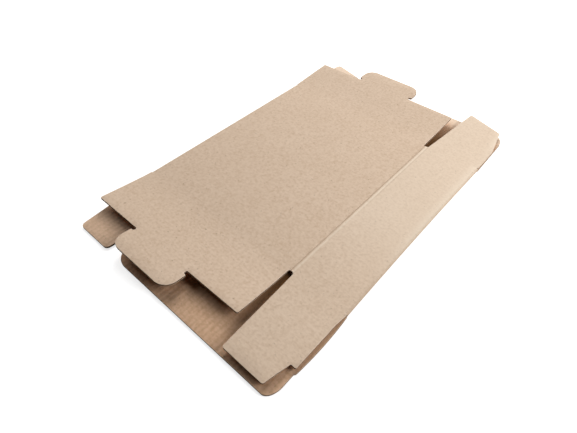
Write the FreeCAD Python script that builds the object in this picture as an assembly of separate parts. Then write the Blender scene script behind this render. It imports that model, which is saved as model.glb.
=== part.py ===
"""A die-cut corrugated carton, glued into a tube and pressed flat.

The tube lies on its lower wide panel. Two folds, left and right, join the lower layer
to the upper one. Each of the four panels carries a flap at the front and at the rear.
The lower flaps are one sheet with the tube. The four upper flaps swing up about their
creases, so each is a piece of its own.

X runs across the tube, Y along it from the front to the rear, Z up.
Lengths are in millimetres and angles in degrees.
"""
import FreeCAD, Part
import math
import os

# Board and tube
board = 1.5
wide_panel = 136.0
narrow_panel = 42.0
body_length = 163.2
layer_gap = 1.4
narrow_panel_droop = 1.3

# Glued seam between the two lower panels
lap_width = 14.0
lap_thickness = 1.0
lap_end_taper = 5.0
seam_gap = 0.7
seam_step_run = 2.2

# Flap creases, pressed into the inner face
score_width = 1.6
score_depth = 0.3

# Crease between the upper panels: a bead along it, and a fine valley on the wide panel's side
bead_width = 2.2
bead_height = 0.22
valley_width = 0.6
valley_depth = 0.12

# Slots between neighbouring flaps
slot_width = 3.8
slot_past_crease = 0.9
slot_end_radius = 1.2
fold_side_clearance = 1.0

# Lock flaps, one at each end of the upper wide panel
lock_shoulder = 41.5
tab_length = 18.0
tab_width = 54.0
tab_corner_radius = 9.0
tab_notch_depth = 2.3
tab_notch_height = 2.7
tab_notch_radius = 1.2
cut_corner_radius = 1.2
step_corner_radius = 0.6

# Dust flaps, one at each end of both narrow panels
front_dust_slot_slant = 3.1
front_dust_reach = 59.4
front_dust_step_reach = 42.5
front_dust_step = 3.5
front_dust_slant = 3.6
rear_dust_slot_slant = 6.0
rear_dust_long_reach = 58.0
rear_dust_short_reach = 50.0
rear_dust_taper_start = 22.0
rear_dust_taper = 4.6
lower_dust_front_reach = 61.8
lower_dust_fold_slant = 5.0
lower_dust_slot_slant = 4.5
dust_corner_radius = 3.0

# Lower wide panel's flaps: a tuck flap in front and a plain one behind
closure_reach = 43.5
closure_bow = 1.3
closure_bow_radius = 190.0
tuck_reach = 62.2
tuck_inset = 0.8
plain_reach = 49.3
wide_flap_slant = 1.6
wide_flap_corner_radius = 10.0

# Angle at which each upper flap springs up from its panel
front_lock_angle = 6.0
rear_lock_angle = 4.0
front_dust_angle = 1.6
rear_dust_angle = 1.5

# Sizes that follow from those above
tube_width = wide_panel + narrow_panel
stack_height = 2 * board + layer_gap
left_fold_radius = stack_height / 2
half_slot = slot_width / 2

X_AXIS = FreeCAD.Vector(1, 0, 0)
Y_AXIS = FreeCAD.Vector(0, 1, 0)
ORIGIN = FreeCAD.Vector(0, 0, 0)


def point(x, y, z=0.0):
    return FreeCAD.Vector(x, y, z)


def rounded_wire(corners):
    """Closed wire through (x, y, radius) corners, with an arc at each radius above zero."""
    edges = []
    count = len(corners)
    entries = []
    exits = []
    middles = []
    for index, (x, y, radius) in enumerate(corners):
        here = point(x, y)
        before = point(*corners[index - 1][:2]) - here
        after = point(*corners[(index + 1) % count][:2]) - here
        before.normalize()
        after.normalize()
        if radius <= 0:
            entries.append(here)
            exits.append(here)
            middles.append(None)
            continue
        half_angle = before.getAngle(after) / 2
        tangent_length = radius / math.tan(half_angle)
        bisector = before + after
        bisector.normalize()
        entries.append(here + before * tangent_length)
        exits.append(here + after * tangent_length)
        middles.append(here + bisector * (radius / math.sin(half_angle) - radius))
    for index in range(count):
        if middles[index] is not None:
            edges.append(Part.Arc(entries[index], middles[index], exits[index]).toShape())
        following = entries[(index + 1) % count]
        if exits[index].distanceToPoint(following) > 1e-6:
            edges.append(Part.LineSegment(exits[index], following).toShape())
    return Part.Wire(Part.__sortEdges__(edges))


def sheet(corners, side):
    """Board with its outer face on z = 0, cut to (x, reach, radius) corners.

    side is -1 for a flap that reaches forwards from its crease and 1 for one that
    reaches backwards.
    """
    placed = [(x, side * reach, radius) for x, reach, radius in corners]
    face = Part.Face(rounded_wire(placed))
    return face.extrude(point(0, 0, -board))


def score_groove(start_x, end_x, crease_y, face_z, inwards=-1):
    """Shallow round-bottomed bar along X, to be cut from the face at face_z as a crease.

    inwards is -1 when the board lies below the face and 1 when it lies above.
    """
    half = score_width / 2
    left = FreeCAD.Vector(start_x, crease_y - half, face_z)
    floor = FreeCAD.Vector(start_x, crease_y, face_z + inwards * score_depth)
    right = FreeCAD.Vector(start_x, crease_y + half, face_z)
    profile = Part.Wire([Part.Arc(left, floor, right).toShape(), Part.LineSegment(right, left).toShape()])
    return Part.Face(profile).extrude(point(end_x - start_x, 0))


def right_fold_radius():
    """Outer radius of the right fold, where the drooping narrow panel runs into it."""
    droop = math.radians(narrow_panel_droop)
    rise = stack_height - narrow_panel * math.tan(droop)
    return rise / (1 + math.cos(droop) - (1 - math.sin(droop)) * math.tan(droop))


def tube_section():
    """Cross-section of the tube, seen along Y: two layers, two folds and the glued seam."""
    droop = math.radians(narrow_panel_droop)
    left_centre = left_fold_radius
    right_radius = right_fold_radius()
    right_centre = tube_width - right_radius
    inner_left = left_fold_radius - board
    inner_right = right_radius - board

    def at(x, z):
        return FreeCAD.Vector(x, 0, z)

    def on_narrow_panel(run):
        """Place on the drooping panel's outer face, at this run from the crease."""
        return at(wide_panel + run * math.cos(droop), stack_height - run * math.sin(droop))

    def line(a, b):
        return Part.LineSegment(a, b).toShape()

    def arc(a, b, c):
        return Part.Arc(a, b, c).toShape()

    # Outer skin, from the seam leftwards over the left fold, across the top and back
    seam_foot = at(narrow_panel - seam_step_run, 0)
    seam_root = at(narrow_panel + seam_gap / 2, board)
    raw_edge_top = at(narrow_panel + seam_gap, board)
    raw_edge_foot = at(narrow_panel + seam_gap, 0)
    left_low = at(left_centre, 0)
    left_out = at(0, left_fold_radius)
    left_high = at(left_centre, stack_height)
    bead_left = at(wide_panel - bead_width / 2, stack_height)
    bead_top = at(wide_panel, stack_height + bead_height)
    bead_right = on_narrow_panel(bead_width / 2)
    valley_left = bead_left - at(valley_width, 0)
    valley_floor = bead_left - at(valley_width / 2, valley_depth)
    right_high = at(right_centre + right_radius * math.sin(droop), right_radius * (1 + math.cos(droop)))
    right_out = at(tube_width, right_radius)
    right_low = at(right_centre, 0)
    outer = Part.Wire([
        line(seam_foot, left_low),
        arc(left_low, left_out, left_high),
        line(left_high, valley_left),
        arc(valley_left, valley_floor, bead_left),
        arc(bead_left, bead_top, bead_right),
        line(bead_right, right_high),
        arc(right_high, right_out, right_low),
        line(right_low, raw_edge_foot),
        line(raw_edge_foot, raw_edge_top),
        line(raw_edge_top, seam_root),
        line(seam_root, seam_foot),
    ])

    # Inner skin, with the step up onto the glue lap
    lap_top = board + lap_thickness
    lap_start = at(narrow_panel - seam_step_run, board)
    lap_shoulder = at(narrow_panel, lap_top)
    lap_edge_high = at(narrow_panel + seam_gap + lap_width, lap_top)
    lap_edge_low = at(narrow_panel + seam_gap + lap_width, board)
    inner_left_low = at(left_centre, board)
    inner_left_out = at(board, left_fold_radius)
    inner_left_high = at(left_centre, stack_height - board)
    inner_crease = at(wide_panel - board * math.tan(droop / 2), stack_height - board)
    inner_right_high = at(right_centre + inner_right * math.sin(droop),
                          right_radius + inner_right * math.cos(droop))
    inner_right_out = at(tube_width - board, right_radius)
    inner_right_low = at(right_centre, board)
    inner = Part.Wire([
        line(lap_start, inner_left_low),
        arc(inner_left_low, inner_left_out, inner_left_high),
        line(inner_left_high, inner_crease),
        line(inner_crease, inner_right_high),
        arc(inner_right_high, inner_right_out, inner_right_low),
        line(inner_right_low, lap_edge_low),
        line(lap_edge_low, lap_edge_high),
        line(lap_edge_high, lap_shoulder),
        line(lap_shoulder, lap_start),
    ])
    return Part.Face(outer).cut(Part.Face(inner)).Faces[0]


def slot_end(centre_x, side, bottom_z, top_z):
    """Rounded closed end of a slot, cut a little way past the crease into the tube."""
    crease_y = 0.0 if side < 0 else body_length
    depth_y = crease_y - side * slot_past_crease
    open_y = crease_y + side * board
    corners = [
        (centre_x - half_slot, open_y, 0),
        (centre_x - half_slot, depth_y, slot_end_radius),
        (centre_x + half_slot, depth_y, slot_end_radius),
        (centre_x + half_slot, open_y, 0),
    ]
    cutter = Part.Face(rounded_wire(corners)).extrude(point(0, 0, top_z - bottom_z))
    cutter.translate(point(0, 0, bottom_z))
    return cutter


def lap_end_cut(side):
    """Wedge that cuts one end of the glue lap back at a slant from the slot's closed end."""
    crease_y = 0.0 if side < 0 else body_length
    lap_start = narrow_panel + seam_gap
    lap_stop = lap_start + lap_width
    slot_bottom = crease_y - side * slot_past_crease
    tapered = slot_bottom - side * lap_end_taper
    corners = [(lap_start, crease_y, 0), (lap_stop, crease_y, 0), (lap_stop, tapered, 0),
               (lap_start, slot_bottom, 0)]
    cutter = Part.Face(rounded_wire(corners)).extrude(point(0, 0, lap_thickness))
    cutter.translate(point(0, 0, board))
    return cutter


def lock_flap(side):
    """Flap of the upper wide panel: shoulders and a round-cornered tab on a notched neck."""
    width = wide_panel - half_slot
    middle = width / 2
    reach = lock_shoulder + tab_length
    under_tab = lock_shoulder + tab_notch_height
    tab_left = middle - tab_width / 2
    tab_right = middle + tab_width / 2
    neck_left = tab_left + tab_notch_depth
    neck_right = tab_right - tab_notch_depth
    return sheet([
        (0, 0, 0),
        (0, lock_shoulder, cut_corner_radius),
        (neck_left, lock_shoulder, tab_notch_radius),
        (neck_left, under_tab, tab_notch_radius),
        (tab_left, under_tab, step_corner_radius),
        (tab_left, reach, tab_corner_radius),
        (tab_right, reach, tab_corner_radius),
        (tab_right, under_tab, step_corner_radius),
        (neck_right, under_tab, tab_notch_radius),
        (neck_right, lock_shoulder, tab_notch_radius),
        (width, lock_shoulder, cut_corner_radius),
        (width, 0, 0),
    ], side)


def front_dust_flap():
    """Flap of the upper narrow panel in front: a step, then a slant on the fold side."""
    slot_side = wide_panel + half_slot
    fold_side = tube_width - fold_side_clearance
    stepped_side = fold_side - front_dust_step
    return sheet([
        (slot_side, 0, 0),
        (slot_side + front_dust_slot_slant, front_dust_reach, cut_corner_radius),
        (stepped_side - front_dust_slant, front_dust_reach, cut_corner_radius),
        (stepped_side, front_dust_step_reach, step_corner_radius),
        (fold_side, front_dust_step_reach, step_corner_radius),
        (fold_side, 0, 0),
    ], -1)


def rear_dust_flap():
    """Flap of the upper narrow panel behind: a slanted end that is longer beside the slot."""
    slot_side = wide_panel + half_slot
    fold_side = tube_width - fold_side_clearance
    return sheet([
        (slot_side, 0, 0),
        (slot_side + rear_dust_slot_slant, rear_dust_long_reach, cut_corner_radius),
        (fold_side - rear_dust_taper, rear_dust_short_reach, dust_corner_radius),
        (fold_side, rear_dust_taper_start, 0),
        (fold_side, 0, 0),
    ], 1)


def lower_dust_flap(side):
    """Flap of the lower narrow panel, square-ended in front and slanted behind."""
    fold_side = fold_side_clearance
    slot_side = narrow_panel - half_slot
    far_reach = lower_dust_front_reach if side < 0 else rear_dust_long_reach
    near_reach = lower_dust_front_reach if side < 0 else rear_dust_short_reach
    return sheet([
        (fold_side, 0, 0),
        (fold_side + lower_dust_fold_slant, far_reach, dust_corner_radius),
        (slot_side - lower_dust_slot_slant, near_reach, dust_corner_radius),
        (slot_side, 0, 0),
    ], side)


def lower_wide_flap(side):
    """Flap of the lower wide panel: a bowed closure and tuck in front, a plain flap behind."""
    slot_side = narrow_panel + half_slot
    slanted_side = slot_side + wide_flap_slant
    if side < 0:
        kink = closure_reach + tuck_inset
        fold_edge = [
            (tube_width - tuck_inset, kink, 0),
            (tube_width, closure_reach, 0),
            (tube_width + closure_bow, closure_reach / 2, closure_bow_radius),
        ]
        reach = tuck_reach
    else:
        fold_edge = []
        reach = plain_reach
    return sheet([
        (slot_side, 0, 0),
        (slanted_side, reach, wide_flap_corner_radius),
        (tube_width - tuck_inset, reach, wide_flap_corner_radius),
        *fold_edge,
        (tube_width, 0, 0),
    ], side)


def droop_into_place(shape):
    """Tilt what belongs to the upper narrow panel about the crease between the upper panels."""
    shape.rotate(point(wide_panel, 0, stack_height), Y_AXIS, narrow_panel_droop)
    return shape


def crease_grooves():
    """Creases of all flaps, pressed into the inner faces of the tube and the lower flaps."""
    inner_left = left_fold_radius
    inner_right = tube_width - right_fold_radius()
    slot_left = narrow_panel - half_slot
    slot_right = narrow_panel + half_slot
    upper_face = stack_height - board
    grooves = [score_groove(slot_right, tube_width, -closure_reach, board)]
    for crease_y in (0.0, body_length):
        grooves.append(score_groove(inner_left, slot_left, crease_y, board))
        grooves.append(score_groove(slot_right, inner_right, crease_y, board))
        grooves.append(score_groove(inner_left, wide_panel - half_slot, crease_y, upper_face, 1))
        grooves.append(droop_into_place(
            score_groove(wide_panel + half_slot, inner_right, crease_y, upper_face, 1)))
    return grooves


def carton_tube():
    """The glued tube with its lower flaps: one folded sheet."""
    tube = tube_section().extrude(point(0, body_length, 0))
    cutters = crease_grooves()
    for side, crease_y in ((-1, 0.0), (1, body_length)):
        for flap in (lower_dust_flap(side), lower_wide_flap(side)):
            flap.translate(point(0, crease_y, board))
            tube = tube.fuse(flap)
        cutters.append(slot_end(wide_panel, side, stack_height / 2, stack_height + board))
        cutters.append(slot_end(narrow_panel, side, -board, board + lap_thickness))
        cutters.append(lap_end_cut(side))
    for cutter in cutters:
        tube = tube.cut(cutter)
    return tube.removeSplitter()


def hinged(flap, side, angle):
    """Score a flap's inner face, lift it about its crease and set it at its end of the tube."""
    flap = flap.cut(score_groove(-board, tube_width, 0, -board, 1))
    flap.rotate(ORIGIN, X_AXIS, side * angle)
    crease_y = 0.0 if side < 0 else body_length
    flap.translate(point(0, crease_y, stack_height))
    return flap


def build():
    pieces = {
        "carton_tube": carton_tube(),
        "front_lock_flap": hinged(lock_flap(-1), -1, front_lock_angle),
        "rear_lock_flap": hinged(lock_flap(1), 1, rear_lock_angle),
        "front_dust_flap": droop_into_place(hinged(front_dust_flap(), -1, front_dust_angle)),
        "rear_dust_flap": droop_into_place(hinged(rear_dust_flap(), 1, rear_dust_angle)),
    }
    whole = Part.makeCompound(list(pieces.values())).BoundBox
    to_origin = point(-whole.Center.x, -whole.Center.y, -whole.ZMin)
    for shape in pieces.values():
        shape.translate(to_origin)
    return pieces, to_origin


pieces, to_origin = build()
os.makedirs("parts", exist_ok=True)
for name, shape in pieces.items():
    shape.exportStep("parts/" + name + ".step")
    box = shape.BoundBox
    print(name, shape.isValid(), len(shape.Solids), "volume", round(shape.Volume, 2),
          "x", round(box.XMin, 3), round(box.XMax, 3), "y", round(box.YMin, 3), round(box.YMax, 3),
          "z", round(box.ZMin, 3), round(box.ZMax, 3))
print("crease places: left", to_origin.x, "front", to_origin.y, "rear", to_origin.y + body_length,
      "panel crease", to_origin.x + wide_panel, "top", stack_height)
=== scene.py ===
"""The flattened carton, dressed as kraft corrugated board on a white floor.

Every piece of board starts as its outer face, drawn at its real size and place. It is
then scored, bent, given the board's thickness inwards and softened along its cut rims.
Lengths in the first block are in millimetres, as on the maker's drawing.
"""

import math

import bmesh
import bpy
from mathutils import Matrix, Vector


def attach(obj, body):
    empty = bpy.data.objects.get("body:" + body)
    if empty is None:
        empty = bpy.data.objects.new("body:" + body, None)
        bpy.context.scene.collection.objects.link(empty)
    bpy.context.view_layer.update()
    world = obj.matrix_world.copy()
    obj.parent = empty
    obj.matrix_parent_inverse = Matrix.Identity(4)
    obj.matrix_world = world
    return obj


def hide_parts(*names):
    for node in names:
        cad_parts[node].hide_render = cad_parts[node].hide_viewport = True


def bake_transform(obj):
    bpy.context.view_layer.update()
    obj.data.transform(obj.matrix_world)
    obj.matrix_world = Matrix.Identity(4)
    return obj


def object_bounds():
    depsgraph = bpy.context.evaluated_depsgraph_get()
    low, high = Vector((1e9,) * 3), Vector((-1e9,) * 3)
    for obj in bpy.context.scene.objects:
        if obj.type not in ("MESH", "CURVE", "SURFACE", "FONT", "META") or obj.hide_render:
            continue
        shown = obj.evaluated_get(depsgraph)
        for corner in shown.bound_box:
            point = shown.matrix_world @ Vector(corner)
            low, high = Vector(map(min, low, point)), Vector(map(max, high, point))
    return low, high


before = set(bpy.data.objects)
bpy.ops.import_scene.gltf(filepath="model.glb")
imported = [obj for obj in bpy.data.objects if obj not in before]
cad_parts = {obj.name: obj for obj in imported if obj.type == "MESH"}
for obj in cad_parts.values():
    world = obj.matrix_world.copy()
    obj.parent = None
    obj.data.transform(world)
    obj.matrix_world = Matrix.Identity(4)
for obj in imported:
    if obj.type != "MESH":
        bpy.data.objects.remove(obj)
cad_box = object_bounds()

MM = 0.001

# Board and tube, in millimetres
BOARD = 1.5
WIDE = 136.0
NARROW = 42.0
LENGTH = 163.2
STACK = 4.4
DROOP = math.radians(1.3)
TUCK_REACH = 62.2
LEFT = cad_box[0][0] / MM
RIGHT = LEFT + WIDE + NARROW
FRONT = cad_box[0][1] / MM + TUCK_REACH
REAR = FRONT + LENGTH
PANEL_CREASE = LEFT + WIDE
LEFT_CENTRE = LEFT + STACK / 2
LEFT_FOLD_STEPS = 14
RIGHT_FOLD_STEPS = 12
FLUTE_PITCH = 3.38
RIM_ROUNDING = 0.32

# Seam under the sheet
SEAM = LEFT + NARROW
SEAM_STEP = 2.2
SEAM_GAP = 0.7
LAP_WIDTH = 14.0
LAP_SHARE = 0.67
LAP_CLIMB = ((0.9, 0.35), (1.8, 1.15), (2.7, BOARD))
LAP_ZONE_LOW = 0.2
LAP_ZONE_HIGH = BOARD + 0.2

# Slots
SLOT_HALF = 1.9
SLOT_PAST_CREASE = 0.9
REAR_SLOT_PAST_CREASE = 3.7
SLOT_END_RADIUS = 1.2
SLOT_END_STEPS = 24
FOLD_CLEARANCE = 1.0

# Lock flaps, one at each end of the upper wide panel
LOCK_SHOULDER = 41.5
TAB_LENGTH = 18.0
TAB_WIDTH = 54.0
TAB_CORNER_RADIUS = 9.0
TAB_NOTCH_DEPTH = 2.3
TAB_NOTCH_HEIGHT = 2.7
NOTCH_RADIUS = 1.1
CUT_CORNER_RADIUS = 1.2
STEP_CORNER_RADIUS = 0.6

# How an upper flap's fold side starts at the crease, beside the tube's rounded fold
SIDE_START = 0.12
LOCK_SIDE_INSET = 0.1
LOCK_SIDE_EASE = 0.5
LOCK_SIDE_EASE_RUN = 14.0
DUST_SIDE_INSET = 0.15
DUST_SIDE_EASE_RUN = 9.0
REAR_DUST_SIDE_INSET = 0.2

# Dust flaps, one at each end of both narrow panels
FRONT_DUST_SLOT_SLANT = 3.1
FRONT_DUST_REACH = 59.4
FRONT_DUST_STEP_REACH = 42.5
FRONT_DUST_STEP = 3.5
FRONT_DUST_SLANT = 3.6
REAR_DUST_SLOT_SLANT = 6.0
REAR_DUST_LONG_REACH = 58.0
REAR_DUST_SHORT_REACH = 50.0
REAR_DUST_TAPER_START = 24.0
REAR_DUST_TAPER = 5.4
REAR_DUST_TAPER_RADIUS = 2.0
LOWER_DUST_FRONT_REACH = 61.8
LOWER_DUST_FOLD_SLANT = 5.0
LOWER_DUST_SLOT_SLANT = 4.5
DUST_CORNER_RADIUS = 3.0

# Lower wide panel's flaps: a tuck flap in front, behind a bowed closure, and a plain one behind
CLOSURE_REACH = 43.5
CLOSURE_SLANT = 1.1
CLOSURE_BOW = 0.93
CLOSURE_BOW_STEP = 3.5
TUCK_INSET = 0.8
PLAIN_REACH = 49.3
WIDE_FLAP_SLANT = 1.6
WIDE_FLAP_CORNER_RADIUS = 10.0

# Fine lines beside a lower flap's crease, between which its corners step out
CREASE_LINE = 0.05
CORNER_LINE = 0.15

# Crease between the upper panels: a bead along it, and a fine valley on the wide panel's side
# How far the crease's painted shade and highlight reach to either side of it
CREASE_PAINT_REACH = 2.5
BEAD_WIDTH = 2.2
BEAD_HEIGHT = 0.22
BEAD_STEPS = 8
VALLEY_WIDTH = 0.6
VALLEY_DEPTH = 0.12
VALLEY_STEPS = 4

# The right fold bows in between the tube's ends, and takes this much of the panel with it
FOLD_BOW = 0.6
FOLD_BOW_WIDTH = 10.0

# Crease pressed into an upper flap's inner face, from its rim to its middle: half width, depth
CREASE_PRESSES = ((0.7, 0.12), (0.3, 0.14))

# How far a swinging flap's board reaches into the tube, for its crease to bend in
CREASE_TAIL = 2.0

# Springing of the upper flaps: part of the bend is at the crease, the rest eases off behind it
FRONT_LOCK_LIFT = math.radians(6.7)
REAR_LOCK_LIFT = math.radians(4.45)
FRONT_DUST_LIFT = math.radians(1.78)
REAR_DUST_LIFT = math.radians(1.65)
CREASE_SHARE = 0.35
CREASE_HINGES = (-0.75, -0.25, 0.25, 0.75)
SOFT_BEND = 22.0

# Score lines that let the board bend and carry its tints
CREASE_SCORE_PITCH = 0.25
SOFT_SCORE_PITCH = 2.0
FLAP_SCORE_PITCH = 7.0
CROSS_SCORE_PITCH = 7.5
SHEET_SCORE_PITCH = 8.0
SHEET_CROSS_PITCH = 5.0

# Finishes of a piece, by the place of the face they are on
OUTER_FACE = 0
INNER_FACE = 1
CUT_EDGE = 2
LIP = 3


def right_fold_radius():
    rise = STACK - NARROW * math.tan(DROOP)
    return rise / (1 + math.cos(DROOP) - (1 - math.sin(DROOP)) * math.tan(DROOP))


RIGHT_RADIUS = right_fold_radius()
RIGHT_CENTRE = RIGHT - RIGHT_RADIUS


def metres(*place):
    return Vector(place) * MM


def crease_at(side):
    """The flap creases' Y: side is -1 for the front end and 1 for the rear."""
    return FRONT if side < 0 else REAR


# Hand tools

def clear_table():
    """Leaves edit mode and lets go of everything."""
    if bpy.context.object and bpy.context.object.mode != "OBJECT":
        bpy.ops.object.mode_set(mode="OBJECT")
    bpy.ops.object.select_all(action="DESELECT")


def take_up(piece):
    clear_table()
    piece.select_set(True)
    bpy.context.view_layer.objects.active = piece
    bpy.ops.object.mode_set(mode="EDIT")


def pick(kind, wanted):
    """Selects only the vertices, edges or faces whose middle, in millimetres, is wanted."""
    mesh = bpy.context.object.data
    bpy.ops.mesh.select_mode(type=kind)
    bpy.ops.mesh.select_all(action="DESELECT")
    shape = bmesh.from_edit_mesh(mesh)
    for element in {"VERT": shape.verts, "EDGE": shape.edges, "FACE": shape.faces}[kind]:
        if kind == "VERT":
            middle = element.co
        elif kind == "EDGE":
            middle = (element.verts[0].co + element.verts[1].co) / 2
        else:
            middle = element.calc_center_median()
        if wanted(middle / MM):
            element.select_set(True)
    shape.select_flush_mode()
    bmesh.update_edit_mesh(mesh)


def slide(x=0.0, y=0.0, z=0.0):
    bpy.ops.transform.translate(value=metres(x, y, z))


def draw_out(x=0.0, y=0.0, z=0.0):
    bpy.ops.mesh.extrude_region_move(TRANSFORM_OT_translate={"value": metres(x, y, z)})


def turn(angle, axis, x=0.0, y=0.0, z=0.0):
    """Turns what is selected by the right-hand rule; with no window the tool turns the other way."""
    bpy.ops.transform.rotate(value=-angle, orient_axis=axis, center_override=metres(x, y, z))


def score(axis, places):
    """Cuts lines across the whole sheet at these places along X or Y."""
    for place in places:
        bpy.ops.mesh.select_all(action="SELECT")
        line = metres(place, 0, 0) if axis == "X" else metres(0, place, 0)
        normal = (1, 0, 0) if axis == "X" else (0, 1, 0)
        bpy.ops.mesh.bisect(plane_co=line, plane_no=normal)


def even_steps(start, stop, step):
    count = max(1, round(abs(stop - start) / step))
    return [start + (stop - start) * i / count for i in range(1, count)]


def near(a, b, reach=0.05):
    return abs(a - b) < reach


def trace(name, corners, height):
    """A flat outline drawn corner by corner and filled: corners are (x, y, radius) in millimetres."""
    clear_table()
    bpy.ops.mesh.primitive_plane_add(size=MM, location=metres(corners[0][0], corners[0][1], height))
    piece = bpy.context.object
    piece.name = name
    piece.data.name = name
    bpy.ops.object.transform_apply(location=True, rotation=True, scale=True)
    take_up(piece)
    bpy.ops.mesh.select_mode(type="VERT")
    bpy.ops.mesh.select_all(action="SELECT")
    bpy.ops.mesh.merge(type="CENTER")
    for before, after in zip(corners, corners[1:]):
        draw_out(after[0] - before[0], after[1] - before[1])
    bpy.ops.mesh.select_all(action="SELECT")
    bpy.ops.mesh.edge_face_add()
    if bmesh.from_edit_mesh(piece.data).faces[:][0].normal.z < 0:
        bpy.ops.mesh.flip_normals()
    round_corners(corners, height)
    return piece


def round_corners(corners, height):
    """Rounds each corner that has a radius, with an arc that meets both its sides."""
    for index, (x, y, radius) in enumerate(corners):
        if radius == 0:
            continue
        before = Vector(corners[index - 1][:2]) - Vector((x, y))
        after = Vector(corners[(index + 1) % len(corners)][:2]) - Vector((x, y))
        reach = radius / math.tan(before.angle(after) / 2)
        pick("VERT", lambda p: near(p.x, x) and near(p.y, y) and near(p.z, height))
        steps = max(4, min(14, round(radius * 1.6)))
        bpy.ops.mesh.bevel(offset=reach * MM, segments=steps, affect="VERTICES", clamp_overlap=False)


def thicken(piece):
    """Gives the sheet its board inwards, with a finish each for outer face, inner face and cut edge."""
    clear_table()
    piece.select_set(True)
    bpy.context.view_layer.objects.active = piece
    for finish in FINISHES:
        piece.data.materials.append(finish)
    outer_count = len(piece.data.vertices)
    solid = piece.modifiers.new("board", "SOLIDIFY")
    solid.thickness = BOARD * MM
    solid.offset = -1
    solid.use_even_offset = True
    solid.material_offset = INNER_FACE
    solid.material_offset_rim = CUT_EDGE
    if "thickness" in piece.vertex_groups:
        solid.vertex_group = "thickness"
    bpy.ops.object.modifier_apply(modifier=solid.name)
    depth = piece.data.attributes.new("board_depth", "FLOAT", "POINT")
    for index, value in enumerate(depth.data):
        value.value = 0.0 if index < outer_count else 1.0


def soften_rims(piece, is_rim):
    """Rounds the edges between a cut edge and the two faces of the board."""
    take_up(piece)
    bpy.ops.mesh.select_mode(type="EDGE")
    bpy.ops.mesh.select_all(action="DESELECT")
    shape = bmesh.from_edit_mesh(piece.data)
    for edge in shape.edges:
        kinds = {face.material_index for face in edge.link_faces}
        middle = (edge.verts[0].co + edge.verts[1].co) / 2 / MM
        if CUT_EDGE in kinds and len(kinds) == 2 and is_rim(middle):
            edge.select_set(True)
    shape.select_flush_mode()
    bmesh.update_edit_mesh(piece.data)
    rounding = RIM_ROUNDING * MM
    # The rounding takes the lip finish, which carries a painted highlight
    bpy.ops.mesh.bevel(offset=rounding, segments=3, affect="EDGES", material=LIP, clamp_overlap=True)
    bpy.ops.object.mode_set(mode="OBJECT")
    bpy.ops.object.shade_smooth_by_angle(angle=math.radians(40))


def mark(piece, name, amount):
    """Gives each vertex of the piece a value of its own, worked out from its place in millimetres."""
    made = piece.data.attributes.new(name, "FLOAT", "POINT")
    for vertex, value in zip(piece.data.vertices, made.data):
        value.value = amount(vertex.co / MM)


def ease(value, low, high):
    """Rises smoothly from 0 at low to 1 at high."""
    share = min(max((value - low) / (high - low), 0.0), 1.0)
    return share * share * (3 - 2 * share)


def painted_light_share(p):
    """Painted light: the narrow panel paler towards the rear as painted sheen, a painted highlight along
    its fold's brow, and the lower dust flaps and the rear end paler where light falls on them.
    """
    if p.z < STACK / 2:
        dust_flap = 0.16 if p.x < SEAM else 0.0
        return max(dust_flap, 0.5 * ease(p.y, REAR + 30.0, REAR + 46.0))
    if p.x < PANEL_CREASE:
        return 0.0
    brow = 0.3 * math.exp(-((RIGHT - 3.0 - p.x) / 2.4) ** 2) * ease(p.y, -60.0, 10.0)
    return 0.07 + 0.19 * ease(p.y, -75.0, 5.0) + brow


def painted_shade(p):
    """Painted shade: the lower flaps darkened where the upper flaps overhang them, deepest under the slot.
    """
    if p.z > STACK / 2 or p.x < SEAM:
        return 0.0
    front = ease(p.y, FRONT - 60.0, FRONT - 5.0) * (1 - 0.8 * ease(p.x, PANEL_CREASE, RIGHT - 15.0))
    rear = 1 - ease(p.y, REAR + 8.0, REAR + 38.0)
    under_slot = math.exp(-((p.x - PANEL_CREASE - 2.0) / 7.0) ** 2)
    return (0.6 + 0.4 * under_slot) * min(front, rear)


def crease_light_and_shade(p):
    """Painted shade along the crease bead's foot, a painted highlight along its brow, and a fainter darker
    line beyond the brow towards the rear.
    """
    run = p.x - PANEL_CREASE
    if abs(run) > CREASE_PAINT_REACH or p.z < STACK - BOARD / 2:
        return 0.0
    brow = 0.8 * math.exp(-((run - 0.9) / 0.5) ** 2)
    foot = math.exp(-((run + 0.7) / 0.35) ** 2)
    far_line = 0.4 * math.exp(-((run - 1.9) / 0.4) ** 2) * ease(p.y, -30.0, 30.0)
    return brow - foot - far_line


# Finishes

def material(name):
    made = bpy.data.materials.new(name)
    made.use_nodes = True
    tree = made.node_tree
    shader = tree.nodes["Principled BSDF"]
    return made, tree, shader


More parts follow.
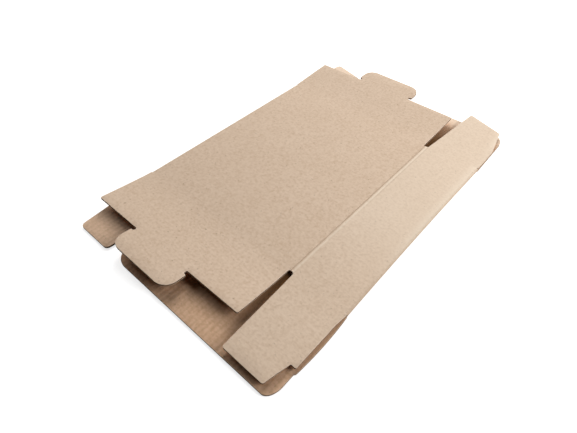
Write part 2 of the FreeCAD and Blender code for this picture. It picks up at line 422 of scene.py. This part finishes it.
class Bench:
    """Short names for placing and joining shader nodes."""

    def __init__(self, tree):
        self.tree = tree

    def node(self, kind, **settings):
        made = self.tree.nodes.new(kind)
        for name, value in settings.items():
            setattr(made, name, value)
        return made

    def join(self, a, b):
        self.tree.links.new(a, b)

    def sum(self, operation, a, b=None, c=None):
        made = self.node("ShaderNodeMath", operation=operation)
        for socket, value in zip(made.inputs, (a, b, c)):
            if value is None:
                continue
            if isinstance(value, (int, float)):
                socket.default_value = value
            else:
                self.join(value, socket)
        return made.outputs[0]

    def noise(self, place, scale, detail=2.0, roughness=0.5):
        made = self.node("ShaderNodeTexNoise")
        made.inputs["Scale"].default_value = scale
        made.inputs["Detail"].default_value = detail
        made.inputs["Roughness"].default_value = roughness
        self.join(place, made.inputs["Vector"])
        return made.outputs["Fac"]

    def stretch(self, place, x, y, z):
        made = self.node("ShaderNodeMapping")
        made.inputs["Scale"].default_value = (x, y, z)
        self.join(place, made.inputs["Vector"])
        return made.outputs["Vector"]

    def span(self, value, low, high, to_low=0.0, to_high=1.0):
        made = self.node("ShaderNodeMapRange")
        made.inputs["From Min"].default_value = low
        made.inputs["From Max"].default_value = high
        made.inputs["To Min"].default_value = to_low
        made.inputs["To Max"].default_value = to_high
        self.join(value, made.inputs["Value"])
        return made.outputs["Result"]

    def tint(self, share, a, b):
        made = self.node("ShaderNodeMix", data_type="RGBA")
        for socket, value in zip((made.inputs[0], made.inputs[6], made.inputs[7]), (share, a, b)):
            if isinstance(value, (int, float)):
                socket.default_value = value
            elif isinstance(value, tuple):
                socket.default_value = (*value, 1.0)
            else:
                self.join(value, socket)
        return made.outputs[2]


def linear(*colour):
    """A colour as it is read on screen, red, green and blue from 0 to 255, turned into light."""
    return tuple(((shade / 255 + 0.055) / 1.055) ** 2.4 for shade in colour)


SPECK = (0.16, 0.10, 0.06)
# Pale tone of the painted light and sheen
PAINTED_LIGHT_TONE = linear(240, 226, 206)
# Dark tone of the painted shade under the upper flaps
PAINTED_SHADE_TONE = linear(136, 96, 55)
# Pale tone of the crease's painted highlight
CREASE_PAINTED_HIGHLIGHT = linear(246, 232, 212)
# Dark tone of the crease's painted shade
CREASE_PAINTED_SHADE = linear(140, 116, 94)


def kraft(name, paper, pale, dark, washboard):
    """Kraft liner: cloudy pulp, fibres along the sheet, specks, and flutes that show through.

    Three attributes of the piece work on it: one paints light and sheen on it, one paints shade under the
    upper flaps, and one paints the crease's shade below zero and its highlight above.
    """
    made, tree, shader = material(name)
    bench = Bench(tree)
    place = bench.node("ShaderNodeTexCoord").outputs["Object"]
    clouds = bench.noise(place, 26.0, 2.0)
    pulp = bench.noise(place, 560.0, 5.0, 0.62)
    fibres = bench.noise(bench.stretch(place, 260.0, 1300.0, 900.0), 1.0, 4.0, 0.6)
    specks = bench.noise(place, 760.0, 1.0)
    colour = bench.tint(bench.span(clouds, 0.3, 0.7, 0.0, 0.3), paper, pale)
    colour = bench.tint(bench.span(pulp, 0.42, 0.68, 0.0, 0.75), colour, dark)
    colour = bench.tint(bench.span(fibres, 0.48, 0.7, 0.0, 0.6), colour, pale)
    colour = bench.tint(bench.span(specks, 0.715, 0.77, 0.0, 0.55), colour, SPECK)
    split = bench.node("ShaderNodeSeparateXYZ")
    bench.join(place, split.inputs[0])
    wave = bench.sum("SINE", bench.sum("MULTIPLY", split.outputs["X"], 2 * math.pi / (FLUTE_PITCH * MM)))
    stripe = bench.span(wave, -0.2, 1.0, 0.0, washboard * 7)
    colour = bench.tint(stripe, colour, dark)
    # Painted light and sheen, paling the liner where light falls stronger
    painted_light = bench.node("ShaderNodeAttribute", attribute_name="painted_light").outputs["Fac"]
    colour = bench.tint(painted_light, colour, PAINTED_LIGHT_TONE)
    # Painted shade under the upper flaps and the slot
    shade_share = bench.node("ShaderNodeAttribute", attribute_name="painted_shade").outputs["Fac"]
    colour = bench.tint(shade_share, colour, PAINTED_SHADE_TONE)
    # The crease's painted shade below zero and painted highlight above
    crease_paint = bench.node("ShaderNodeAttribute", attribute_name="crease_painted_light").outputs["Fac"]
    colour = bench.tint(bench.span(crease_paint, 0.0, 1.0, 0.0, 0.45), colour, CREASE_PAINTED_HIGHLIGHT)
    colour = bench.tint(bench.span(crease_paint, 0.0, -1.0, 0.0, 0.6), colour, CREASE_PAINTED_SHADE)
    bench.join(colour, shader.inputs["Base Color"])
    sags = bench.noise(place, 55.0, 1.0)
    grain = bench.sum("MULTIPLY_ADD", fibres, 0.9, pulp)
    height = bench.sum("MULTIPLY_ADD", grain, 0.000016, bench.sum("MULTIPLY", wave, washboard * MM))
    height = bench.sum("MULTIPLY_ADD", sags, 0.0002, height)
    bump = bench.node("ShaderNodeBump")
    bump.inputs["Strength"].default_value = 1.0
    bump.inputs["Distance"].default_value = 1.0
    bench.join(height, bump.inputs["Height"])
    bench.join(bump.outputs["Normal"], shader.inputs["Normal"])
    bench.join(bench.span(pulp, 0.3, 0.7, 0.78, 0.92), shader.inputs["Roughness"])
    shader.inputs["Specular IOR Level"].default_value = 0.22
    return made


def fluted_edge(name, paper, flute_gap_shade):
    """The board cut across: two liners and the wavy medium between them, with painted shade in the gaps
    between the flutes.
    """
    made, tree, shader = material(name)
    bench = Bench(tree)
    place = bench.node("ShaderNodeTexCoord").outputs["Object"]
    split = bench.node("ShaderNodeSeparateXYZ")
    bench.join(place, split.inputs[0])
    depth = bench.node("ShaderNodeAttribute", attribute_name="board_depth").outputs["Fac"]
    crush = bench.span(bench.noise(place, 420.0, 3.0), 0.3, 0.7, -0.09, 0.09)
    wave = bench.sum("SINE", bench.sum("MULTIPLY", split.outputs["X"], 2 * math.pi / (FLUTE_PITCH * MM)))
    middle = bench.sum("MULTIPLY_ADD", wave, 0.27, bench.sum("ADD", crush, 0.5))
    medium = bench.span(bench.sum("ABSOLUTE", bench.sum("SUBTRACT", depth, middle)), 0.10, 0.17, 1.0, 0.0)
    liners = bench.span(bench.sum("ABSOLUTE", bench.sum("SUBTRACT", depth, 0.5)), 0.30, 0.38)
    solid = bench.sum("MAXIMUM", medium, liners)
    fray = bench.noise(place, 1500.0, 3.0)
    colour = bench.tint(bench.span(fray, 0.35, 0.65, 0.0, 0.5), paper, tuple(c * 1.12 for c in paper))
    # Painted shade where the flutes leave gaps, since the cut face is solid
    bench.join(bench.tint(solid, flute_gap_shade, colour), shader.inputs["Base Color"])
    bump = bench.node("ShaderNodeBump")
    bump.inputs["Strength"].default_value = 1.0
    bump.inputs["Distance"].default_value = 1.0
    height = bench.sum("MULTIPLY_ADD", fray, 0.00005, bench.sum("MULTIPLY", solid, 0.0002))
    bench.join(height, bump.inputs["Height"])
    bench.join(bump.outputs["Normal"], shader.inputs["Normal"])
    shader.inputs["Roughness"].default_value = 0.9
    shader.inputs["Specular IOR Level"].default_value = 0.15
    return made


FINISHES = [
    kraft("kraft_outer_liner", linear(209, 185, 161), linear(221, 198, 176), linear(191, 164, 138), 0.006),
    kraft("kraft_inner_liner", linear(214, 175, 143), linear(225, 190, 160), linear(187, 149, 114), 0.045),
    # The cut edge's second colour is painted shade for the gaps between the flutes
    fluted_edge("fluted_cut_edge", linear(200, 174, 150), linear(112, 86, 62)),
    # Rounded rims: pale torn fibres, painted paler still as the rims' highlight
    kraft("fibre_lip_painted_highlight", linear(232, 214, 196), linear(242, 227, 211), linear(210, 188, 168), 0.0),
]


# Pieces

def swinging_flap(name, corners, side, lift, tail):
    """An upper flap, drawn flat at the top of the tube and sprung up in a soft bend at its crease.

    corners give (x, reach, radius) from the crease out along one side and back along the
    other. tail gives the left and right ends of its strip inside the tube.
    """
    crease = crease_at(side)
    tail_left, tail_right = tail
    outline = [(tail_left, crease - side * CREASE_TAIL, 0)]
    outline += [(x, crease + side * reach, radius) for x, reach, radius in corners]
    outline += [(tail_right, crease - side * CREASE_TAIL, 0)]
    piece = trace(name, outline, STACK)
    reach_max = max(reach for x, reach, radius in corners)
    soft_lines = even_steps(CREASE_TAIL, SOFT_BEND, SOFT_SCORE_PITCH)
    scores = even_steps(-CREASE_TAIL, CREASE_TAIL, CREASE_SCORE_PITCH) + soft_lines
    scores += even_steps(SOFT_BEND, reach_max, FLAP_SCORE_PITCH)
    score("Y", [crease + side * s for s in scores])
    left = min(x for x, reach, radius in corners)
    right = max(x for x, reach, radius in corners)
    score("X", even_steps(left, right, CROSS_SCORE_PITCH))
    bends = [(s, CREASE_SHARE / len(CREASE_HINGES)) for s in CREASE_HINGES]
    bends += [(s, (1 - CREASE_SHARE) / len(soft_lines)) for s in soft_lines]
    for hinge, share in reversed(bends):
        pick("VERT", lambda p: side * (p.y - crease) > hinge + 0.1)
        turn(side * lift * share, "X", 0, crease + side * hinge, STACK)
    bpy.ops.object.mode_set(mode="OBJECT")
    return piece


def press_inner_crease(piece, side):
    """Presses the crease into the board's inner face."""
    crease = crease_at(side)
    take_up(piece)
    for half_width, depth in CREASE_PRESSES:
        pick("VERT", lambda p: abs(p.y - crease) < half_width and p.z < STACK - 0.7 * BOARD)
        slide(z=depth)
    bpy.ops.object.mode_set(mode="OBJECT")


def finish_swinging(piece, side, drooping):
    crease = crease_at(side)
    tail_end = crease - side * CREASE_TAIL
    thicken(piece)
    press_inner_crease(piece, side)
    soften_rims(piece, lambda p: side * (p.y - tail_end) > 0.02)
    if drooping:
        take_up(piece)
        bpy.ops.mesh.select_all(action="SELECT")
        turn(DROOP, "Y", PANEL_CREASE, 0, STACK)
        bpy.ops.object.mode_set(mode="OBJECT")


def lock_flap(name, side, lift):
    """The wide panel's flap: shoulders and a round-cornered tab on a notched neck."""
    under_tab = LOCK_SHOULDER + TAB_NOTCH_HEIGHT
    reach = LOCK_SHOULDER + TAB_LENGTH
    tab_left = LEFT + (WIDE - SLOT_HALF - TAB_WIDTH) / 2
    tab_right = tab_left + TAB_WIDTH
    neck_left = tab_left + TAB_NOTCH_DEPTH
    neck_right = tab_right - TAB_NOTCH_DEPTH
    fold_side = LEFT + LOCK_SIDE_INSET
    slot_side = PANEL_CREASE - SLOT_HALF
    piece = swinging_flap(name, [
        (LEFT_CENTRE, 0.0, 0.0),
        (fold_side + LOCK_SIDE_EASE, SIDE_START, 0.0),
        (fold_side, LOCK_SIDE_EASE_RUN, 0.0),
        (fold_side, LOCK_SHOULDER, CUT_CORNER_RADIUS),
        (neck_left, LOCK_SHOULDER, NOTCH_RADIUS),
        (neck_left, under_tab, NOTCH_RADIUS),
        (tab_left, under_tab, STEP_CORNER_RADIUS),
        (tab_left, reach, TAB_CORNER_RADIUS),
        (tab_right, reach, TAB_CORNER_RADIUS),
        (tab_right, under_tab, STEP_CORNER_RADIUS),
        (neck_right, under_tab, NOTCH_RADIUS),
        (neck_right, LOCK_SHOULDER, NOTCH_RADIUS),
        (slot_side, LOCK_SHOULDER, CUT_CORNER_RADIUS),
    ], side, lift, (LEFT_CENTRE, slot_side))
    finish_swinging(piece, side, drooping=False)
    return piece


def front_dust_flap(name, lift):
    """The narrow panel's front flap, with a step and a slant on its fold side."""
    slot_side = PANEL_CREASE + SLOT_HALF
    fold_side = RIGHT - FOLD_CLEARANCE
    stepped_in = fold_side - FRONT_DUST_STEP
    piece = swinging_flap(name, [
        (slot_side + FRONT_DUST_SLOT_SLANT, FRONT_DUST_REACH, CUT_CORNER_RADIUS),
        (stepped_in - FRONT_DUST_SLANT, FRONT_DUST_REACH, CUT_CORNER_RADIUS),
        (stepped_in, FRONT_DUST_STEP_REACH, STEP_CORNER_RADIUS),
        (fold_side, FRONT_DUST_STEP_REACH, STEP_CORNER_RADIUS),
        (fold_side, DUST_SIDE_EASE_RUN, 0.0),
        (RIGHT - DUST_SIDE_INSET, SIDE_START, 0.0),
        (RIGHT_CENTRE, 0.0, 0.0),
    ], -1, lift, (slot_side, RIGHT_CENTRE))
    finish_swinging(piece, -1, drooping=True)
    return piece


def rear_dust_flap(name, lift):
    """The narrow panel's rear flap, with a slanted end and a fold side that tapers in."""
    slot_side = PANEL_CREASE + SLOT_HALF
    fold_side = RIGHT - REAR_DUST_SIDE_INSET
    piece = swinging_flap(name, [
        (slot_side + REAR_DUST_SLOT_SLANT, REAR_DUST_LONG_REACH, CUT_CORNER_RADIUS),
        (fold_side - REAR_DUST_TAPER, REAR_DUST_SHORT_REACH, DUST_CORNER_RADIUS),
        (fold_side, REAR_DUST_TAPER_START, REAR_DUST_TAPER_RADIUS),
        (fold_side, SIDE_START, 0.0),
        (RIGHT_CENTRE, 0.0, 0.0),
    ], 1, lift, (slot_side, RIGHT_CENTRE))
    finish_swinging(piece, 1, drooping=True)
    return piece


def tube_sheet():
    """The tube's outer face, run round from the lower wide panel over both folds to the glue lap."""
    clear_table()
    start = SEAM + SEAM_GAP
    width = RIGHT_CENTRE - start
    bpy.ops.mesh.primitive_plane_add(size=MM, location=metres(start + width / 2, (FRONT + REAR) / 2, 0))
    piece = bpy.context.object
    piece.scale = (width, LENGTH, 1)
    piece.name = "carton_board"
    piece.data.name = "carton_board"
    bpy.ops.object.transform_apply(location=True, rotation=True, scale=True)
    take_up(piece)
    bpy.ops.mesh.flip_normals()
    pick("EDGE", lambda p: near(p.x, RIGHT_CENTRE))
    right_centre = metres(RIGHT_CENTRE, 0, RIGHT_RADIUS)
    bpy.ops.mesh.spin(steps=RIGHT_FOLD_STEPS, angle=math.pi - DROOP, center=right_centre, axis=(0, 1, 0))
    at_x = RIGHT_CENTRE + RIGHT_RADIUS * math.sin(DROOP)
    at_z = RIGHT_RADIUS * (1 + math.cos(DROOP))
    run_of_crease = [(PANEL_CREASE + SLOT_HALF, STACK - SLOT_HALF * math.sin(DROOP))]
    for step in range(BEAD_STEPS + 1):
        run = BEAD_WIDTH * (0.5 - step / BEAD_STEPS)
        rise = BEAD_HEIGHT * (1 - (2 * run / BEAD_WIDTH) ** 2)
        run_of_crease.append((PANEL_CREASE + run, STACK - max(run, 0) * math.sin(DROOP) + rise))
    for step in range(1, VALLEY_STEPS + 1):
        fall = VALLEY_DEPTH * math.sin(math.pi * step / VALLEY_STEPS)
        valley_x = PANEL_CREASE - BEAD_WIDTH / 2 - VALLEY_WIDTH * step / VALLEY_STEPS
        run_of_crease.append((valley_x, STACK - fall))
    run_of_crease += [(PANEL_CREASE - SLOT_HALF, STACK), (LEFT_CENTRE, STACK)]
    for to_x, to_z in run_of_crease:
        draw_out(to_x - at_x, 0, to_z - at_z)
        at_x, at_z = to_x, to_z
    left_centre = metres(LEFT_CENTRE, 0, STACK / 2)
    bpy.ops.mesh.spin(steps=LEFT_FOLD_STEPS, angle=math.pi, center=left_centre, axis=(0, 1, 0))
    at_x, at_z = LEFT_CENTRE, 0.0
    lap_start = SEAM - SEAM_STEP
    climb = [(lap_start + run, rise) for run, rise in LAP_CLIMB]
    for to_x, to_z in [(lap_start, 0.0), *climb, (start + LAP_WIDTH, BOARD)]:
        draw_out(to_x - at_x, 0, to_z - at_z)
        at_x, at_z = to_x, to_z
    return piece


def bow_fold():
    """Lets the right fold bow inwards between the tube's ends."""
    lines = even_steps(FRONT, REAR, SHEET_SCORE_PITCH)
    score("Y", lines)
    score("X", [PANEL_CREASE + CREASE_PAINT_REACH + 0.1, RIGHT_CENTRE - FOLD_BOW_WIDTH / 2])
    for line in lines:
        sag = FOLD_BOW * (1 - ((line - FRONT) * 2 / LENGTH - 1) ** 2)
        pick("VERT", lambda p: near(p.y, line) and p.x > RIGHT_CENTRE - FOLD_BOW_WIDTH)
        slide(x=-sag / 2)
        pick("VERT", lambda p: near(p.y, line) and p.x > RIGHT_CENTRE - 0.01)
        slide(x=-sag / 2)


def open_slots():
    """Cuts the upper flaps' tails and the four slots out of the tube's ends."""
    upper_left = PANEL_CREASE - SLOT_HALF
    upper_right = PANEL_CREASE + SLOT_HALF
    score("X", [SEAM - SLOT_HALF, SEAM + SLOT_HALF])
    score("Y", [FRONT + SLOT_PAST_CREASE, REAR - REAR_SLOT_PAST_CREASE])
    score("Y", [FRONT + CREASE_TAIL, REAR - CREASE_TAIL])

    def in_tail(p):
        ends = p.y < FRONT + CREASE_TAIL or p.y > REAR - CREASE_TAIL
        flat = LEFT_CENTRE < p.x < upper_left or upper_right < p.x < RIGHT_CENTRE
        return p.z > STACK / 2 and ends and flat

    def in_slot(p):
        ends = p.y < FRONT + SLOT_PAST_CREASE or p.y > REAR - REAR_SLOT_PAST_CREASE
        upper = p.z > STACK / 2 and upper_left < p.x < upper_right
        lower = p.z < STACK / 2 and SEAM - SLOT_HALF < p.x < SEAM + SLOT_HALF
        return ends and (upper or lower)

    pick("FACE", lambda p: in_tail(p) or in_slot(p))
    bpy.ops.mesh.delete(type="FACE")

    def in_lap_end(p):
        ends = p.y < FRONT + CREASE_TAIL or p.y > REAR - CREASE_TAIL
        return ends and near(p.z, BOARD, 0.1) and SEAM < p.x < SEAM + SEAM_GAP + LAP_WIDTH

    pick("FACE", in_lap_end)
    bpy.ops.mesh.delete(type="FACE")
    for side, closed_end in ((-1, FRONT + SLOT_PAST_CREASE), (1, REAR - REAR_SLOT_PAST_CREASE)):
        for share in range(SLOT_END_STEPS):
            inset = SLOT_END_RADIUS * share / SLOT_END_STEPS
            fill = SLOT_END_RADIUS - math.sqrt(SLOT_END_RADIUS ** 2 - (SLOT_END_RADIUS - inset) ** 2)
            pick("VERT", lambda p: near(p.y, closed_end, 0.01) and p.z > STACK / 2
                 and near(abs(p.x - PANEL_CREASE), SLOT_HALF - inset, SLOT_END_RADIUS / SLOT_END_STEPS / 2))
            slide(y=side * fill)


def draw_lower_flap(side, left, right, steps, corners):
    """Draws a lower flap out of the tube's bottom edge, one crease line after the other.

    steps give (reach, left x, right x), and corners (x, reach, radius) of what is rounded.
    """
    crease = crease_at(side)
    pick("EDGE", lambda p: near(p.y, crease) and p.z < 0.01 and left - 0.01 < p.x < right + 0.01)
    at_reach, at_left, at_right = 0.0, left, right
    for reach, to_left, to_right in steps:
        line = crease + side * reach
        draw_out(0, side * (reach - at_reach))
        for at, to in ((at_left, to_left), (at_right, to_right)):
            if near(at, to, 0.001):
                continue
            pick("VERT", lambda p: near(p.x, at, 0.02) and near(p.y, line, 0.02) and p.z < 0.01)
            slide(x=to - at)
        at_reach, at_left, at_right = reach, to_left, to_right
        pick("EDGE", lambda p: near(p.y, line, 0.02) and p.z < 0.01
             and to_left - 0.01 < p.x < to_right + 0.01)
    for x, reach, radius in corners:
        pick("VERT", lambda p: near(p.x, x) and near(p.y, crease + side * reach) and p.z < 0.01)
        bpy.ops.mesh.bevel(offset=radius * MM, segments=14, affect="VERTICES", clamp_overlap=False)


def draw_wide_flaps():
    """The lower wide panel's flaps: closure and tuck flap in front, and a plain flap behind."""
    slot_right = SEAM + SLOT_HALF
    slanted_side = slot_right + WIDE_FLAP_SLANT
    tuck_side = RIGHT - TUCK_INSET
    at_crease = [(CREASE_LINE, slot_right, RIGHT_CENTRE), (CORNER_LINE, slot_right, RIGHT)]
    slant = CLOSURE_SLANT / CLOSURE_REACH
    bowed = []
    for reach in even_steps(0, CLOSURE_REACH, CLOSURE_BOW_STEP):
        swell = CLOSURE_BOW * (1 - (2 * reach / CLOSURE_REACH - 1) ** 2)
        bowed.append((reach, slot_right + slant * reach, RIGHT + swell))
    tuck_start = CLOSURE_REACH + TUCK_INSET
    draw_lower_flap(-1, slot_right, RIGHT_CENTRE, [
        *at_crease,
        *bowed,
        (CLOSURE_REACH, slot_right + CLOSURE_SLANT, RIGHT),
        (tuck_start, slot_right + slant * tuck_start, tuck_side),
        (TUCK_REACH, slanted_side, tuck_side),
    ], [(x, TUCK_REACH, WIDE_FLAP_CORNER_RADIUS) for x in (slanted_side, tuck_side)])
    draw_lower_flap(1, slot_right, RIGHT_CENTRE, [
        *at_crease,
        (PLAIN_REACH, slanted_side, tuck_side),
    ], [(x, PLAIN_REACH, WIDE_FLAP_CORNER_RADIUS) for x in (slanted_side, tuck_side)])


def draw_lower_dust_flaps():
    """The lower narrow panel's flaps, slanted on both sides, and at the end of the rear one."""
    fold_side = LEFT + FOLD_CLEARANCE
    slot_side = SEAM - SLOT_HALF
    fold_corner = fold_side + LOWER_DUST_FOLD_SLANT
    slot_corner = slot_side - LOWER_DUST_SLOT_SLANT
    for side, fold_reach, slot_reach in (
        (-1, LOWER_DUST_FRONT_REACH, LOWER_DUST_FRONT_REACH),
        (1, REAR_DUST_LONG_REACH, REAR_DUST_SHORT_REACH),
    ):
        crease = crease_at(side)
        draw_lower_flap(side, LEFT_CENTRE, SEAM - SEAM_STEP, [
            (CREASE_LINE, LEFT_CENTRE, SEAM - SEAM_STEP),
            (CORNER_LINE, fold_side, slot_side),
            (slot_reach, fold_corner, slot_corner),
        ], [])
        if fold_reach > slot_reach:
            pick("VERT", lambda p: near(p.x, fold_corner) and near(p.y, crease + side * slot_reach))
            slide(y=side * (fold_reach - slot_reach))
        for x, reach in ((fold_corner, fold_reach), (slot_corner, slot_reach)):
            pick("VERT", lambda p: near(p.x, x) and near(p.y, crease + side * reach) and p.z < 0.01)
            radius = DUST_CORNER_RADIUS * MM
            bpy.ops.mesh.bevel(offset=radius, segments=8, affect="VERTICES", clamp_overlap=False)


def weigh_lap(piece):
    """The crushed lap is thinner than the rest of the board."""
    group = piece.vertex_groups.new(name="thickness")
    for vertex in piece.data.vertices:
        x, y, z = vertex.co / MM
        raised = LAP_ZONE_LOW < z < LAP_ZONE_HIGH
        on_lap = raised and SEAM - 2 * SEAM_STEP < x < SEAM + 2 * SEAM_GAP + LAP_WIDTH
        group.add([vertex.index], LAP_SHARE if on_lap else 1.0, "REPLACE")


def carton_board():
    """The folded sheet: four panels, two folds, the glued lap and the four lower flaps."""
    piece = tube_sheet()
    bow_fold()
    open_slots()
    draw_wide_flaps()
    draw_lower_dust_flaps()
    score("Y", even_steps(FRONT - TUCK_REACH, REAR + REAR_DUST_LONG_REACH, SHEET_SCORE_PITCH))
    score("Y", [FRONT, REAR])
    score("X", even_steps(LEFT_CENTRE, RIGHT_CENTRE, SHEET_CROSS_PITCH))
    bpy.ops.object.mode_set(mode="OBJECT")
    weigh_lap(piece)
    thicken(piece)

    def is_rim(p):
        tail = near(p.y, FRONT + CREASE_TAIL, 0.02) or near(p.y, REAR - CREASE_TAIL, 0.02)
        return not (tail and p.z > STACK / 2)

    soften_rims(piece, is_rim)
    return piece


board = carton_board()
# Painted light and sheen on the tube's board
mark(board, "painted_light", painted_light_share)
# Painted shade on the lower flaps under the upper ones
mark(board, "painted_shade", painted_shade)
# Painted shade and highlight along the crease between the upper panels
mark(board, "crease_painted_light", crease_light_and_shade)
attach(board, "tube")
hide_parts("carton_tube")

front_lock = lock_flap("front_lock_board", -1, FRONT_LOCK_LIFT)
rear_lock = lock_flap("rear_lock_board", 1, REAR_LOCK_LIFT)
front_dust = front_dust_flap("front_dust_board", FRONT_DUST_LIFT)
rear_dust = rear_dust_flap("rear_dust_board", REAR_DUST_LIFT)
for flap, node, body, side in (
    (front_lock, "front_lock_flap", "front_lock", -1),
    (rear_lock, "rear_lock_flap", "rear_lock", 1),
    (front_dust, "front_dust_flap", "front_dust", -1),
    (rear_dust, "rear_dust_flap", "rear_dust", 1),
):
    clear_table()
    # The flaps get the same painted light and sheen
    mark(flap, "painted_light", painted_light_share)
    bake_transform(flap)
    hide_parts(node)


# Floor, light and camera, in metres

FLOOR_SIZE = 8.0
FLOOR_DROP = 0.0003
FLOOR_GLOW_NEAR = (0.2, 0.72)
FLOOR_GLOW_FAR = (0.5, 1.0)
PHOTO_WIDTH = 577
FOCAL_PIXELS = 434.3
SENSOR_WIDTH = 36.0
LOOKING_DOWN = math.radians(47.17)
HEADING = math.radians(41.578)
CAMERA_PLACE = metres(145.70, -193.82, 215.55)


def white_floor():
    """A floor that reads as white, keeps the shadow, and throws back little light of its own."""
    clear_table()
    bpy.ops.mesh.primitive_plane_add(size=FLOOR_SIZE, location=(0, 0, -FLOOR_DROP))
    floor = bpy.context.object
    floor.name = "floor"
    bpy.ops.object.transform_apply(location=True, rotation=True, scale=True)
    made, tree, shader = material("white_floor")
    bench = Bench(tree)
    tree.nodes.remove(shader)
    paint = bench.node("ShaderNodeBsdfDiffuse")
    paint.inputs["Color"].default_value = (0.78, 0.78, 0.78, 1)
    bounce = bench.node("ShaderNodeBsdfDiffuse")
    bounce.inputs["Color"].default_value = (0.56, 0.46, 0.34, 1)
    glow = bench.node("ShaderNodeEmission")
    glow.inputs["Color"].default_value = (1, 1, 1, 1)
    away = bench.node("ShaderNodeVectorMath", operation="LENGTH")
    bench.join(bench.node("ShaderNodeTexCoord").outputs["Object"], away.inputs[0])
    near_at, near_glow = FLOOR_GLOW_NEAR
    far_at, far_glow = FLOOR_GLOW_FAR
    strength = bench.span(away.outputs["Value"], near_at, far_at, near_glow, far_glow)
    bench.join(strength, glow.inputs["Strength"])
    both = bench.node("ShaderNodeAddShader")
    bench.join(paint.outputs[0], both.inputs[0])
    bench.join(glow.outputs[0], both.inputs[1])
    rays = bench.node("ShaderNodeLightPath")
    seen = bench.sum("MAXIMUM", rays.outputs["Is Camera Ray"], rays.outputs["Is Glossy Ray"])
    seen = bench.sum("MAXIMUM", seen, rays.outputs["Is Transmission Ray"])
    swap = bench.node("ShaderNodeMixShader")
    bench.join(seen, swap.inputs[0])
    bench.join(bounce.outputs[0], swap.inputs[1])
    bench.join(both.outputs[0], swap.inputs[2])
    bench.join(swap.outputs[0], tree.nodes["Material Output"].inputs["Surface"])
    floor.data.materials.append(made)


def soft_light(name, place, size, power):
    """A square light that faces the middle of the carton."""
    lamp = bpy.data.lights.new(name, "AREA")
    lamp.shape = "SQUARE"
    lamp.size = size
    lamp.energy = power
    holder = bpy.data.objects.new(name, lamp)
    holder.location = place
    holder.rotation_euler = (-Vector(place)).to_track_quat("-Z", "Y").to_euler()
    bpy.context.scene.collection.objects.link(holder)


def studio():
    """A white surround that hardly lights, and four windows that do."""
    world = bpy.data.worlds.new("studio")
    bpy.context.scene.world = world
    world.use_nodes = True
    tree = world.node_tree
    bench = Bench(tree)
    sky = tree.nodes["Background"]
    sky.inputs["Color"].default_value = (0.94, 0.97, 1.0, 1)
    sky.inputs["Strength"].default_value = 0.01
    white = bench.node("ShaderNodeBackground")
    white.inputs["Color"].default_value = (1, 1, 1, 1)
    white.inputs["Strength"].default_value = 1.0
    rays = bench.node("ShaderNodeLightPath")
    swap = bench.node("ShaderNodeMixShader")
    bench.join(rays.outputs["Is Camera Ray"], swap.inputs[0])
    bench.join(sky.outputs[0], swap.inputs[1])
    bench.join(white.outputs[0], swap.inputs[2])
    bench.join(swap.outputs[0], tree.nodes["World Output"].inputs["Surface"])
    soft_light("rear_window", (-0.563, 0.975, 0.65), size=0.5, power=12.2)
    soft_light("rear_skylight", (-0.373, 0.646, 1.065), size=0.5, power=3.2)
    soft_light("side_window", (0.488, 0.178, 0.3), size=0.3, power=2.55)
    soft_light("left_fill", (-1.126, 0, 0.65), size=0.5, power=5.2)


def set_camera():
    """The camera that took the photo, from above the tuck flap's right corner."""
    view = bpy.data.cameras.new("camera")
    holder = bpy.data.objects.new("camera", view)
    bpy.context.scene.collection.objects.link(holder)
    view.sensor_width = SENSOR_WIDTH
    view.lens = FOCAL_PIXELS / PHOTO_WIDTH * SENSOR_WIDTH
    view.clip_start = 0.01
    holder.location = CAMERA_PLACE
    holder.rotation_euler = (math.pi / 2 - LOOKING_DOWN, 0, HEADING)
    bpy.context.scene.camera = holder


white_floor()
studio()
set_camera()
bpy.context.scene.view_settings.view_transform = "Standard"
